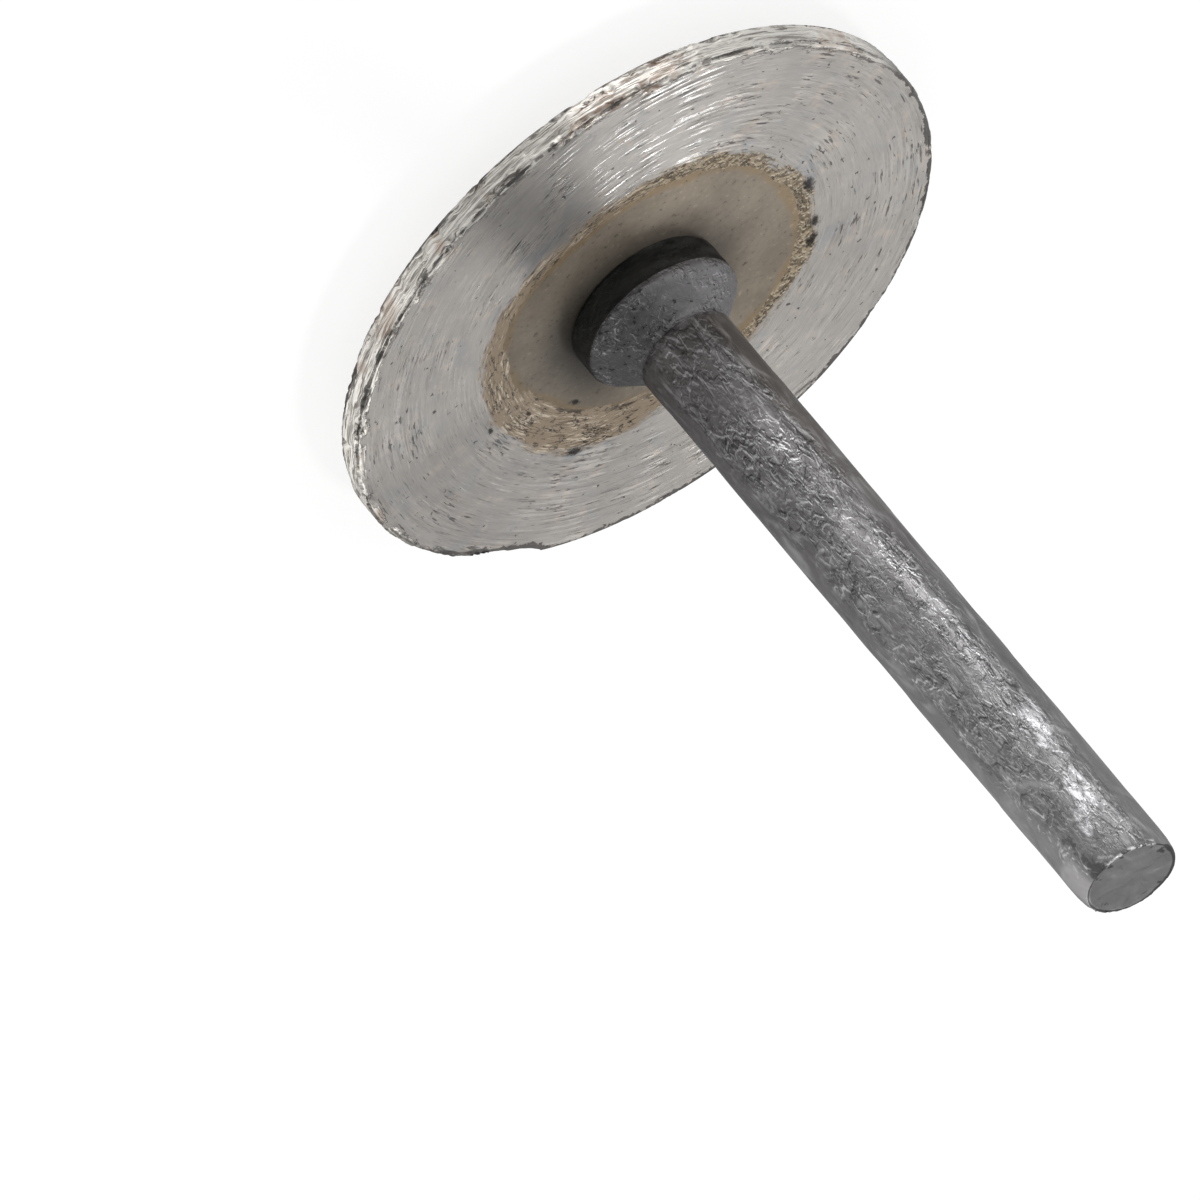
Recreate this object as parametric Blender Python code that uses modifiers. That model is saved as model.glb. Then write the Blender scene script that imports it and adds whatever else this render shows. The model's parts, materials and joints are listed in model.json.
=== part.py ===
"""Cutting disc riveted on a mandrel.

Metres, +Z up. The part stands on its rivet head with the shank pointing up, and the origin is on the
mandrel's axis in the plane of the head's waffle face. Angles are about +Z, counted from +X towards +Y.
"""

import math

import bmesh
import bpy
from mathutils import Matrix

# Disc: ground faces round a shallow recess, whose floor is the hub
DISC_RADIUS = 0.01019
DISC_THICKNESS = 0.00088
RIM_CORNER = 0.00007
RECESS_DEPTH = 0.00007
RECESS_RADIUS = 0.0056
HUB_RADIUS = 0.0048
HEAD_SIDE_RECESS_RADIUS = 0.00515
HEAD_SIDE_HUB_RADIUS = 0.0038

# Shank
SHANK_RADIUS = 0.0015875
SHANK_LENGTH = 0.02344
END_TAPER_LENGTH = 0.0009
END_TAPER_DEPTH = 0.00012
END_SLANT = math.radians(6.5)

# Collar between the shank and the disc
NECK_RADIUS = 0.00149
NECK_STEP = 0.00008
NECK_FILLET = 0.00026
FLANGE_RADIUS = 0.0026
FLANGE_HEIGHT = 0.00105
FLANGE_LEAN = 0.00022
FLANGE_LEAN_ANGLE = math.radians(235)
FLANGE_CORNER = 0.00006
COLLAR_HEIGHT = 0.00226

# Stem through the disc, and the rivet head that it is spread into
STEM_RADIUS = 0.00125
HEAD_RADIUS = 0.00187
HEAD_HEIGHT = 0.0011
HEAD_DRAFT = 0.00006
HEAD_BARREL_LOW = 0.0004
HEAD_BARREL_HIGH = 0.0008

# Waffle pattern in the head's face: tapered square pits between thin ridges
PIT_PITCH = 0.0013
PIT_DEPTH = 0.00038
PIT_FLOOR_WIDTH = 0.00052
RIDGE_WIDTH = 0.0001
PIT_COLUMNS = (-1, 0, 1, 2)
PIT_ROWS = (-1, 0, 1)
PATTERN_SHIFT = (-0.00028, 0.00008)

# Clearances of the riveted joint
SEAT_CLEARANCE = 0.00002
BORE_CLEARANCE = 0.00003

# Out of round: how often the radius swells in a turn, by how much, and at what angle it first does
RIM_WAVES = ((2, 0.000055, math.radians(-44)), (3, 0.000045, math.radians(7)))
RECESS_WAVES = (
    (2, 0.00009, math.radians(150)),
    (3, 0.00012, math.radians(75)),
    (5, 0.00005, math.radians(20)),
)
HEAD_SIDE_RECESS_WAVES = (
    (1, 0.00029, math.radians(25)),
    (2, 0.00053, math.radians(-76)),
    (3, 0.00014, math.radians(40)),
)
HEAD_SIDE_HUB_WAVES = (
    (1, 0.00075, math.radians(-110)),
    (2, 0.00047, math.radians(-62)),
    (3, 0.00011, math.radians(48)),
)
FLANGE_WAVES = ((1, 0.00004, math.radians(30)), (3, 0.00003, math.radians(60)))
HEAD_WAVES = (
    (2, 0.00006, math.radians(80)),
    (3, 0.00003, math.radians(10)),
    (7, 0.000025, math.radians(25)),
)

# Chip broken out of the rim: angle and depth along its edge on the shank side, and the lean of its wall
CHIP_EDGE = (
    (math.radians(12), 0.00003),
    (math.radians(20), 0.00010),
    (math.radians(24), 0.00009),
    (math.radians(29), 0.00010),
    (math.radians(32), 0.00020),
    (math.radians(36), 0.00029),
    (math.radians(40), 0.00031),
    (math.radians(42.5), 0.00024),
    (math.radians(45.5), 0.00006),
)
CHIP_LEAN = math.radians(16)

# Shell-shaped flake that came off the shank side along with the chip: where it is, and its half sizes
FLAKE_ANGLE = math.radians(32)
FLAKE_ALONG_RIM = 0.0014
FLAKE_IN_FROM_RIM = 0.00048
FLAKE_DEPTH = 0.00016

# Nicks worn into the rim's corner on the head side: angle, depth and width
NICKS = (
    (math.radians(183), 0.00006, 0.00040),
    (math.radians(221), 0.00010, 0.00018),
    (math.radians(227.6), 0.00014, 0.00020),
    (math.radians(252), 0.00008, 0.00030),
    (math.radians(290), 0.00010, 0.00034),
    (math.radians(294.5), 0.00014, 0.00036),
    (math.radians(301), 0.00012, 0.00030),
    (math.radians(338), 0.00008, 0.00034),
)
NICK_HEIGHT = 0.0005

# Facets in a full turn, and in a quarter turn of a small round
DISC_STEPS = 144
MANDREL_STEPS = 64
FLAKE_STEPS = 24
CORNER_STEPS = 3

# Edges that turn by more than this are shaded sharp
SHARP_ANGLE = math.radians(28)

# How far a cutter goes on past the surface that it cuts
OVERCUT = 0.0005

# Levels above the floor
DISC_UNDERSIDE = HEAD_HEIGHT + SEAT_CLEARANCE - RECESS_DEPTH
DISC_MIDDLE = DISC_UNDERSIDE + DISC_THICKNESS / 2
FLANGE_SEAT = DISC_UNDERSIDE + DISC_THICKNESS - RECESS_DEPTH + SEAT_CLEARANCE
FLANGE_TOP = FLANGE_SEAT + FLANGE_HEIGHT
SHANK_FOOT = FLANGE_SEAT + COLLAR_HEIGHT
SHANK_END = SHANK_FOOT + SHANK_LENGTH


def new_collection(name):
    collection = bpy.data.collections.new(name)
    bpy.context.scene.collection.children.link(collection)
    return collection


def metal(name, colour, roughness, metallic):
    material = bpy.data.materials.new(name)
    material.use_nodes = True
    shader = material.node_tree.nodes["Principled BSDF"]
    shader.inputs["Base Color"].default_value = (*colour, 1)
    shader.inputs["Roughness"].default_value = roughness
    shader.inputs["Metallic"].default_value = metallic
    return material


def swelling(waves, angle):
    """How far an out-of-round outline stands out at this angle."""
    return sum(height * math.cos(order * (angle - first)) for order, height, first in waves)


def eased(value, start, end):
    """0 up to start, 1 from end on, with a smooth rise between them."""
    share = min(max((value - start) / (end - start), 0), 1)
    return share * share * (3 - 2 * share)


def on_circle(radius, angle):
    return radius * math.cos(angle), radius * math.sin(angle)


def arc(centre, radius, start, end):
    """Points of an arc in the plane of radius and height."""
    turns = [start + (end - start) * step / CORNER_STEPS for step in range(CORNER_STEPS + 1)]
    return [(centre[0] + radius * math.cos(turn), centre[1] + radius * math.sin(turn)) for turn in turns]


def piece_from(shape, name, collection):
    mesh = bpy.data.meshes.new(name)
    shape.to_mesh(mesh)
    shape.free()
    piece = bpy.data.objects.new(name, mesh)
    collection.objects.link(piece)
    return piece


def turned(profile, steps, name, collection, closed=False):
    """A profile of (radius, height) points, listed from the top down, turned about +Z into a mesh."""
    shape = bmesh.new()
    points = [shape.verts.new((radius, 0, height)) for radius, height in profile]
    for start, end in zip(points, points[1:]):
        shape.edges.new((start, end))
    if closed:
        shape.edges.new((points[-1], points[0]))
    piece = piece_from(shape, name, collection)
    screw = piece.modifiers.new("Turn", "SCREW")
    screw.steps = steps
    screw.render_steps = steps
    screw.use_merge_vertices = True
    screw.merge_threshold = 0.000001
    bpy.context.view_layer.objects.active = piece
    bpy.ops.object.modifier_apply(modifier=screw.name)
    return piece


def reshape(piece, move):
    """Moves each vertex to the radius and height that move(angle, radius, height) returns."""
    for vertex in piece.data.vertices:
        x, y, height = vertex.co
        angle = math.atan2(y, x)
        radius, height = move(angle, math.hypot(x, y), height)
        vertex.co = (*on_circle(radius, angle), height)


def shade_round(piece):
    piece.data.shade_smooth()
    piece.data.set_sharp_from_angle(angle=SHARP_ANGLE)


def slab(outline, bottom, top, name, collection):
    """A flat outline of (x, y) points, made a closed solid between two levels."""
    curve = bpy.data.curves.new(name, "CURVE")
    curve.dimensions = "2D"
    curve.fill_mode = "BOTH"
    curve.extrude = (top - bottom) / 2
    spline = curve.splines.new("POLY")
    spline.points.add(len(outline) - 1)
    for point, (x, y) in zip(spline.points, outline):
        point.co = (x, y, 0, 1)
    spline.use_cyclic_u = True
    flat = bpy.data.objects.new(name + "_outline", curve)
    collection.objects.link(flat)
    graph = bpy.context.evaluated_depsgraph_get()
    solid = bpy.data.meshes.new_from_object(flat.evaluated_get(graph))
    bpy.data.objects.remove(flat)
    shape = bmesh.new()
    shape.from_mesh(solid)
    bpy.data.meshes.remove(solid)
    bmesh.ops.remove_doubles(shape, verts=shape.verts, dist=0.0000001)
    bmesh.ops.recalc_face_normals(shape, faces=shape.faces)
    piece = piece_from(shape, name, collection)
    piece.location.z = (top + bottom) / 2
    return piece


def cut(piece, cutter):
    """Takes the cutter's shape out of the piece, which it follows from then on."""
    cutter.display_type = "WIRE"
    cutter.hide_render = True
    cutter.parent = piece
    boolean = piece.modifiers.new("Cut " + cutter.name, "BOOLEAN")
    boolean.operation = "DIFFERENCE"
    boolean.solver = "EXACT"
    boolean.object = cutter


def shank_profile():
    """From the middle of the shank's end, over its worn edge, down to the shank's foot."""
    points = [(0, SHANK_END)]
    for step in range(CORNER_STEPS, -1, -1):
        turn = math.pi / 2 * step / CORNER_STEPS
        radius = SHANK_RADIUS - END_TAPER_DEPTH * (1 - math.cos(turn))
        points.append((radius, SHANK_END - END_TAPER_LENGTH * (1 - math.sin(turn))))
    return [*points, (SHANK_RADIUS, SHANK_FOOT)]


def collar_profile():
    """The small step under the shank, the neck's fillet, the cone that runs off it and the flange."""
    middle = (NECK_RADIUS + NECK_FILLET, SHANK_FOOT - NECK_STEP)
    across = FLANGE_RADIUS - middle[0]
    down = middle[1] - FLANGE_TOP
    cone_angle = math.atan2(down, across) - math.asin(NECK_FILLET / math.hypot(across, down))
    return [
        *arc(middle, NECK_FILLET, math.pi, math.pi * 3 / 2 - cone_angle),
        (FLANGE_RADIUS - FLANGE_CORNER, FLANGE_TOP + FLANGE_CORNER * math.tan(cone_angle)),
        (FLANGE_RADIUS, FLANGE_TOP - FLANGE_CORNER),
        (FLANGE_RADIUS, FLANGE_SEAT + FLANGE_CORNER),
        (FLANGE_RADIUS - FLANGE_CORNER, FLANGE_SEAT),
    ]


def head_profile():
    """The stem through the disc and the head below it, slightly barrelled by the riveting."""
    return [
        (STEM_RADIUS, FLANGE_SEAT),
        (STEM_RADIUS, HEAD_HEIGHT),
        (HEAD_RADIUS - HEAD_DRAFT, HEAD_HEIGHT),
        (HEAD_RADIUS, HEAD_BARREL_HIGH),
        (HEAD_RADIUS, HEAD_BARREL_LOW),
        (HEAD_RADIUS - HEAD_DRAFT, 0),
        (0, 0),
    ]


def mandrel_shape(angle, radius, height):
    """The end is cut aslant, the flange leans and is out of round, and so is the head."""
    end_share = eased(height, SHANK_END - 2 * END_TAPER_LENGTH, SHANK_END - END_TAPER_LENGTH)
    lift = -end_share * math.tan(END_SLANT) * radius * math.cos(angle)
    if FLANGE_SEAT <= height < SHANK_FOOT:
        flange_share = eased(radius, SHANK_RADIUS, FLANGE_RADIUS - FLANGE_CORNER)
        edge_share = eased(height, FLANGE_SEAT + FLANGE_CORNER, FLANGE_TOP - FLANGE_CORNER)
        lift += flange_share * edge_share * FLANGE_LEAN * math.cos(angle - FLANGE_LEAN_ANGLE)
        radius += flange_share * swelling(FLANGE_WAVES, angle)
    if height <= HEAD_HEIGHT:
        head_share = eased(radius, STEM_RADIUS, HEAD_RADIUS - HEAD_DRAFT)
        radius += head_share * swelling(HEAD_WAVES, angle)
    return radius, height + lift


def pit_cutter(collection):
    """The waffle pattern's pits, which start just below the head's face and get narrower going up."""
    mouth_width = PIT_PITCH - RIDGE_WIDTH
    start_width = mouth_width + RIDGE_WIDTH / 2
    height = PIT_DEPTH * (start_width - PIT_FLOOR_WIDTH) / (mouth_width - PIT_FLOOR_WIDTH)
    shape = bmesh.new()
    for column in PIT_COLUMNS:
        for row in PIT_ROWS:
            x = PATTERN_SHIFT[0] + column * PIT_PITCH
            y = PATTERN_SHIFT[1] + row * PIT_PITCH
            place = Matrix.Translation((x, y, PIT_DEPTH - height / 2))
            bmesh.ops.create_cone(
                shape,
                cap_ends=True,
                segments=4,
                radius1=start_width / math.sqrt(2),
                radius2=PIT_FLOOR_WIDTH / math.sqrt(2),
                depth=height,
                matrix=place @ Matrix.Rotation(math.pi / 4, 4, "Z"),
            )
    return piece_from(shape, "waffle_pits", collection)


def make_mandrel(parts, cutters):
    profile = shank_profile() + collar_profile() + head_profile()
    mandrel = turned(profile, MANDREL_STEPS, "mandrel", parts)
    reshape(mandrel, mandrel_shape)
    shade_round(mandrel)
    mandrel.data.materials.append(metal("dark_steel", (0.085, 0.085, 0.088), 0.42, 0.85))
    cut(mandrel, pit_cutter(cutters))
    return mandrel


def disc_profile():
    """The disc's section about its middle plane, down the rim and back over the upper face."""
    face = DISC_THICKNESS / 2
    hub_face = face - RECESS_DEPTH
    bore_radius = STEM_RADIUS + BORE_CLEARANCE
    return [
        (DISC_RADIUS, face - RIM_CORNER),
        (DISC_RADIUS, RIM_CORNER - face),
        (DISC_RADIUS - RIM_CORNER, -face),
        (HEAD_SIDE_RECESS_RADIUS, -face),
        (HEAD_SIDE_HUB_RADIUS, -hub_face),
        (bore_radius, -hub_face),
        (bore_radius, hub_face),
        (HUB_RADIUS, hub_face),
        (RECESS_RADIUS, face),
        (DISC_RADIUS - RIM_CORNER, face),
    ]


def disc_shape(angle, radius, height):
    """The rim is a little out of round, and the recess has an outline of its own on each side."""
    hub_radius, hub_waves = HUB_RADIUS, RECESS_WAVES
    recess_radius, recess_waves = RECESS_RADIUS, RECESS_WAVES
    if height < 0:
        hub_radius, hub_waves = HEAD_SIDE_HUB_RADIUS, HEAD_SIDE_HUB_WAVES
        recess_radius, recess_waves = HEAD_SIDE_RECESS_RADIUS, HEAD_SIDE_RECESS_WAVES
    past_bore = eased(radius, STEM_RADIUS + BORE_CLEARANCE, hub_radius)
    past_hub = eased(radius, hub_radius, recess_radius)
    past_recess = eased(radius, recess_radius, DISC_RADIUS - RIM_CORNER)
    radius += (past_bore - past_hub) * swelling(hub_waves, angle)
    radius += (past_hub - past_recess) * swelling(recess_waves, angle)
    radius += past_recess * swelling(RIM_WAVES, angle)
    return radius, height


def rim_radius(angle):
    return DISC_RADIUS + swelling(RIM_WAVES, angle)


def chip_cutter(collection):
    """A slab with the chip's outline, tipped so that the chip is deepest on the shank side."""
    half_thickness = DISC_THICKNESS / 2
    first, last = CHIP_EDGE[0][0], CHIP_EDGE[-1][0]
    outside = DISC_RADIUS + 2 * OVERCUT
    outline = [on_circle(rim_radius(angle) - depth, angle) for angle, depth in CHIP_EDGE]
    outline += [on_circle(outside, last), on_circle(outside, first)]
    chip = slab(outline, -half_thickness - OVERCUT, half_thickness + OVERCUT, "chip", collection)
    middle = (first + last) / 2
    pivot = Matrix.Translation((*on_circle(DISC_RADIUS, middle), half_thickness))
    tangent = (-math.sin(middle), math.cos(middle), 0)
    chip.matrix_world = pivot @ Matrix.Rotation(-CHIP_LEAN, 4, tangent) @ pivot.inverted()
    return chip


def flake_cutter(collection):
    """A flattened ball, centred where the rim's wall meets the shank side's face."""
    shape = bmesh.new()
    bmesh.ops.create_uvsphere(shape, u_segments=FLAKE_STEPS, v_segments=FLAKE_STEPS // 2, radius=1)
    half_sizes = (FLAKE_IN_FROM_RIM, FLAKE_ALONG_RIM, FLAKE_DEPTH)
    bmesh.ops.scale(shape, vec=half_sizes, verts=shape.verts)
    flake = piece_from(shape, "flake", collection)
    flake.location = (*on_circle(rim_radius(FLAKE_ANGLE), FLAKE_ANGLE), DISC_THICKNESS / 2)
    flake.rotation_euler.z = FLAKE_ANGLE
    return flake


def nick_cutter(number, angle, depth, width, collection):
    """A notch in the rim's lower corner with a pointed bottom, as wide as stated at the rim."""
    rim = rim_radius(angle)
    half_turn = width / 2 * (depth + OVERCUT) / depth / rim
    outline = [
        on_circle(rim - depth, angle),
        on_circle(rim + OVERCUT, angle + half_turn),
        on_circle(rim + OVERCUT, angle - half_turn),
    ]
    underside = -DISC_THICKNESS / 2
    return slab(outline, underside - OVERCUT, underside + NICK_HEIGHT, f"nick_{number}", collection)


def make_disc(parts, cutters):
    disc = turned(disc_profile(), DISC_STEPS, "disc", parts, closed=True)
    reshape(disc, disc_shape)
    shade_round(disc)
    disc.data.materials.append(metal("ground_metal", (0.44, 0.42, 0.40), 0.38, 0.75))
    disc.data.materials.append(metal("pressed_metal", (0.29, 0.25, 0.20), 0.60, 0.45))
    for face in disc.data.polygons:
        below_the_ground_face = DISC_THICKNESS / 2 - abs(face.center.z) > RECESS_DEPTH / 4
        inside_the_rim = face.center.to_2d().length < (RECESS_RADIUS + DISC_RADIUS) / 2
        face.material_index = int(below_the_ground_face and inside_the_rim)
    cut(disc, chip_cutter(cutters))
    cut(disc, flake_cutter(cutters))
    for number, (angle, depth, width) in enumerate(NICKS, 1):
        cut(disc, nick_cutter(number, angle, depth, width, cutters))
    disc.location.z = DISC_MIDDLE
    return disc


def main():
    for leftover in list(bpy.data.objects):
        bpy.data.objects.remove(leftover)
    parts = new_collection("cutting_disc_with_mandrel")
    cutters = new_collection("cutters")
    mandrel = make_mandrel(parts, cutters)
    disc = make_disc(parts, cutters)
    disc.parent = mandrel


main()
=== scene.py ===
"""Looks of a worn cutting disc riveted on its mandrel.

The disc has ground faces round a tan, pressed hub, and the mandrel has a wrinkled dark skin and a
waffle-faced rivet head. Metres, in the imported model's frame: the part stands on the head, shank up.
Angles are about +Z, from +X.
"""

import json
import math

import bmesh
import bpy
import numpy as np
from mathutils import Matrix, Vector, noise

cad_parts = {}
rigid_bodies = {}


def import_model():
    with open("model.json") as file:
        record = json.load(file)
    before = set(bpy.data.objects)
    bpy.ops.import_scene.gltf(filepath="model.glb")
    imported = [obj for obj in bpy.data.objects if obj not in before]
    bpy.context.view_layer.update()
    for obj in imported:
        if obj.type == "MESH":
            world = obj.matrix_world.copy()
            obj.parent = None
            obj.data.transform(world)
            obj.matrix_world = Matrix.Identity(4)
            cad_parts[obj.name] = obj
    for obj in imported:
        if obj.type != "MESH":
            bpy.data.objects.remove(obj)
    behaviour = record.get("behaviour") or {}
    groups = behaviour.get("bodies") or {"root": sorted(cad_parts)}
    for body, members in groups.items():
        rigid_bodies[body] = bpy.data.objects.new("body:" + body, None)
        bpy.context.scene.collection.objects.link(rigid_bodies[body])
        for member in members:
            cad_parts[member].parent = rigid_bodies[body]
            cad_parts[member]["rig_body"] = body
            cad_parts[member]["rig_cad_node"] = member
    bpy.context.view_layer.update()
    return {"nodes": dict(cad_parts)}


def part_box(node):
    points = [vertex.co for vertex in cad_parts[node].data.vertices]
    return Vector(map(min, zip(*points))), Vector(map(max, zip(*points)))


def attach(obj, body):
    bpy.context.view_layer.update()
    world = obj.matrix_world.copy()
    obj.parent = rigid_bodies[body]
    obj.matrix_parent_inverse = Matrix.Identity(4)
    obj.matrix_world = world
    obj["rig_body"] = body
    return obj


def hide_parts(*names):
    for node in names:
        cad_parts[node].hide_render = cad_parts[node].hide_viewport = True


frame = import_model()

MM = 0.001

# Points closer than this are one point
MERGE_DISTANCE = 0.0001 * MM

# How far below the disc's faces the mandrel's flange and head bear on it
SEAT_DEPTH = 0.05 * MM

# Levels and radii that the finish and the wear go by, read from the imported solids
DISC_BOTTOM, DISC_TOP = (corner.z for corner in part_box("disc"))
DISC_MIDDLE = (DISC_BOTTOM + DISC_TOP) / 2
RIM_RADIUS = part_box("disc")[1].x
SHANK_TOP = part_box("mandrel")[1].z
FLANGE_SEAT = DISC_TOP - SEAT_DEPTH
HEAD_TOP = DISC_BOTTOM + SEAT_DEPTH

# Above this level the mandrel is fitted and worn, and below it the seat and the stem stay as drawn
SKIN_FOOT = FLANGE_SEAT + 0.03 * MM

# The disc before it is fitted to its solid: where its section turns and where its facets change size
BORE_RADIUS = 1.28 * MM
FLANGE_ZONE_RADIUS = 2.5 * MM
HUB_FLOOR_RADIUS = 4.0 * MM
GROUND_FACE_RADIUS = 6.2 * MM
HEAD_SIDE_FLOOR_RADIUS = 2.7 * MM
HEAD_SIDE_FACE_RADIUS = 6.3 * MM
RIM_ZONE_RADIUS = 9.4 * MM
RIM_CORNER = 0.07 * MM
RECESS_DEPTH = 0.07 * MM
DISC_SIDES = 720

# The mandrel before it is fitted to its solid
END_EDGE_RADIUS = 1.46 * MM
END_ROUNDING = 0.95 * MM
SHANK_RADIUS = 1.5875 * MM
SHANK_FOOT = 4.14 * MM
NECK_RADIUS = 1.49 * MM
NECK_DEPTH = 0.08 * MM
CONE_TOP = 3.82 * MM
CONE_TOP_RADIUS = 1.56 * MM
CONE_FOOT_RADIUS = 2.55 * MM
FLANGE_RADIUS = 2.6 * MM
FLANGE_TOP = 2.93 * MM
FLANGE_CORNER = 0.06 * MM
STEM_RADIUS = 1.25 * MM
MANDREL_SIDES = 216
HEAD_VOXEL = 0.024 * MM

# Corners sharper than this stay sharp in the shading
SHARP_CORNER = math.radians(50)
SHARP_HEAD_CORNER = math.radians(40)

# How many millimetres proud the pattern of a finish stands
GRAIN_DEPTH = 0.016

# noise_vector draws its offsets from this seed, and without one from the clock
NOISE_SEED = 1

# From the origin, in metres
LAMP_DISTANCE = 0.6

# The photograph's view, from the -Y side
CAMERA_AIM = Vector((6.678, 2.976, 6.992)) * MM
CAMERA_DISTANCE = 1444.9 * MM
CAMERA_ELEVATION = 30.55
CAMERA_ROLL = 140.05
CAMERA_LENS = 1469

# Outlines on the disc's faces: mean radius in millimetres, then how often it swells in a turn, by how
# much, and at which angle
TAN_EDGE = (5.80, ((1, 0.06, 174), (2, 0.12, -16), (3, 0.08, 32), (4, 0.11, 49)))
FLOOR_EDGE = (4.96, ((1, 0.46, -160), (2, 0.26, -51), (3, 0.09, -41), (4, 0.05, 44)))
HEAD_SIDE_TAN_EDGE = (5.48, ((2, 0.28, -70), (3, 0.04, 40)))
HEAD_SIDE_FLOOR_EDGE = (4.19, ((1, 0.81, -113), (2, 0.47, -44), (3, 0.17, -50)))

# Black marks in and beside the tan belt: place and radius in millimetres
BELT_MARKS = (
    (4.45, 3.95, 0.20),
    (-4.95, 3.40, 0.22),
    (-5.39, 2.66, 0.18),
    (-5.93, 0.81, 0.24),
    (4.77, 0.71, 0.10),
    (3.50, 1.92, 0.14),
    (5.95, -0.05, 0.10),
)

# Where the shank is rubbed bright, partly worn metal and partly painted highlight: height in millimetres,
# angle in degrees, and reach in millimetres
WORN_AND_HIGHLIGHT_PLACES = (
    (4.9, -70, 0.14),
    (9.3, -103, 0.38),
    (13.0, -102, 0.24),
    (14.3, -112, 0.26),
    (16.0, -115, 0.36),
    (17.5, -118, 0.40),
    (22.2, -121, 0.42),
    (25.2, -111, 0.32),
    (26.1, -88, 0.20),
)

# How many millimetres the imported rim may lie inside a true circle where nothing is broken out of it,
# and beyond which radius in millimetres anything can be broken out
OUT_OF_ROUND = 0.12
BREAKS_BEYOND = 7

# The way that the rim's most torn side faces, along X and Y
TORN_SIDE = (0.34, -0.94)


def only(piece):
    """Selects this object and nothing else, and makes it active."""
    bpy.ops.object.select_all(action="DESELECT")
    piece.select_set(True)
    bpy.context.view_layer.objects.active = piece


def pick_edge(start, end):
    """Selects the section's edge between two of its points, each (radius, height)."""
    bpy.ops.mesh.select_all(action="DESELECT")
    mesh = bmesh.from_edit_mesh(bpy.context.object.data)
    wanted = [Vector((radius, 0, height)) for radius, height in (start, end)]
    for edge in mesh.edges:
        ends = [vertex.co for vertex in edge.verts]
        if all(min((point - co).length for co in ends) < MERGE_DISTANCE for point in wanted):
            edge.select_set(True)
    mesh.select_flush_mode()
    bmesh.update_edit_mesh(bpy.context.object.data)


def spun(name, section, sides, closed=False):
    """A turned piece: a section of (radius, height, cuts before it) points, drawn and spun about +Z."""
    points = [station[:2] for station in section]
    bpy.ops.object.select_all(action="DESELECT")
    bpy.ops.mesh.primitive_plane_add(size=MM, location=(points[0][0], 0, points[0][1]))
    piece = bpy.context.object
    piece.name = name
    bpy.ops.object.transform_apply(location=True)
    bpy.ops.object.mode_set(mode="EDIT")
    bpy.ops.mesh.select_all(action="SELECT")
    bpy.ops.mesh.merge(type="CENTER")
    for start, end in zip(points, points[1:]):
        step = (end[0] - start[0], 0, end[1] - start[1])
        bpy.ops.mesh.extrude_vertices_move(TRANSFORM_OT_translate={"value": step})
    if closed:
        bpy.ops.mesh.select_all(action="SELECT")
        bpy.ops.mesh.remove_doubles(threshold=MERGE_DISTANCE)
    for start, end, (_, _, cuts) in zip(points, points[1:], section[1:]):
        if cuts:
            pick_edge(start, end)
            bpy.ops.mesh.subdivide(number_cuts=cuts)
    bpy.ops.mesh.select_all(action="SELECT")
    bpy.ops.mesh.spin(steps=sides, angle=math.tau, center=(0, 0, 0), axis=(0, 0, 1))
    bpy.ops.mesh.select_all(action="SELECT")
    bpy.ops.mesh.remove_doubles(threshold=MERGE_DISTANCE)
    bpy.ops.mesh.normals_make_consistent(inside=False)
    bpy.ops.object.mode_set(mode="OBJECT")
    return piece


def fit_to(piece, node, group=""):
    """Wraps the piece, or one group of its points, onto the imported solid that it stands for."""
    only(piece)
    wrap = piece.modifiers.new("Fit", "SHRINKWRAP")
    wrap.target = frame["nodes"][node]
    wrap.wrap_method = "NEAREST_SURFACEPOINT"
    wrap.vertex_group = group
    bpy.ops.object.modifier_apply(modifier=wrap.name)


def places(piece):
    """The piece's points as rows of x, y and z."""
    rows = np.empty(len(piece.data.vertices) * 3, np.float32)
    piece.data.vertices.foreach_get("co", rows)
    return rows.reshape(-1, 3)


def wear(piece, drawn, depth):
    """Sinks each point along its normal by depth(x, y, z) in millimetres, taken where it was drawn."""
    normals = np.empty(len(piece.data.vertices) * 3, np.float32)
    piece.data.vertices.foreach_get("normal", normals)
    sunk = np.array([depth(*point) for point in drawn.tolist()], np.float32) * MM
    moved = places(piece) - normals.reshape(-1, 3) * sunk[:, None]
    piece.data.vertices.foreach_set("co", moved.ravel())
    piece.data.update()


def note(piece, name, values):
    """Keeps one number for each point, for a finish to read."""
    attribute = piece.data.attributes.new(name, "FLOAT", "POINT")
    attribute.data.foreach_set("value", np.asarray(values, np.float32))


def ramp(value, start, end):
    """0 at start, 1 at end, smooth between them and level beyond."""
    share = min(max((value - start) / (end - start), 0), 1)
    return share * share * (3 - 2 * share)


def outline(edge, angles):
    """The radius in millimetres of an out-of-round outline at each angle in radians."""
    mean, waves = edge
    radius = np.full(len(angles), mean)
    for order, swell, first in waves:
        radius += swell * np.cos(order * (angles - math.radians(first)))
    return radius


def along_ring(radius, angle, height, sweep, across):
    """A place for noise that runs round the axis: few changes along the ring, many across it."""
    return Vector((math.cos(angle) * sweep, math.sin(angle) * sweep, (radius + height) * across))


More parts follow.
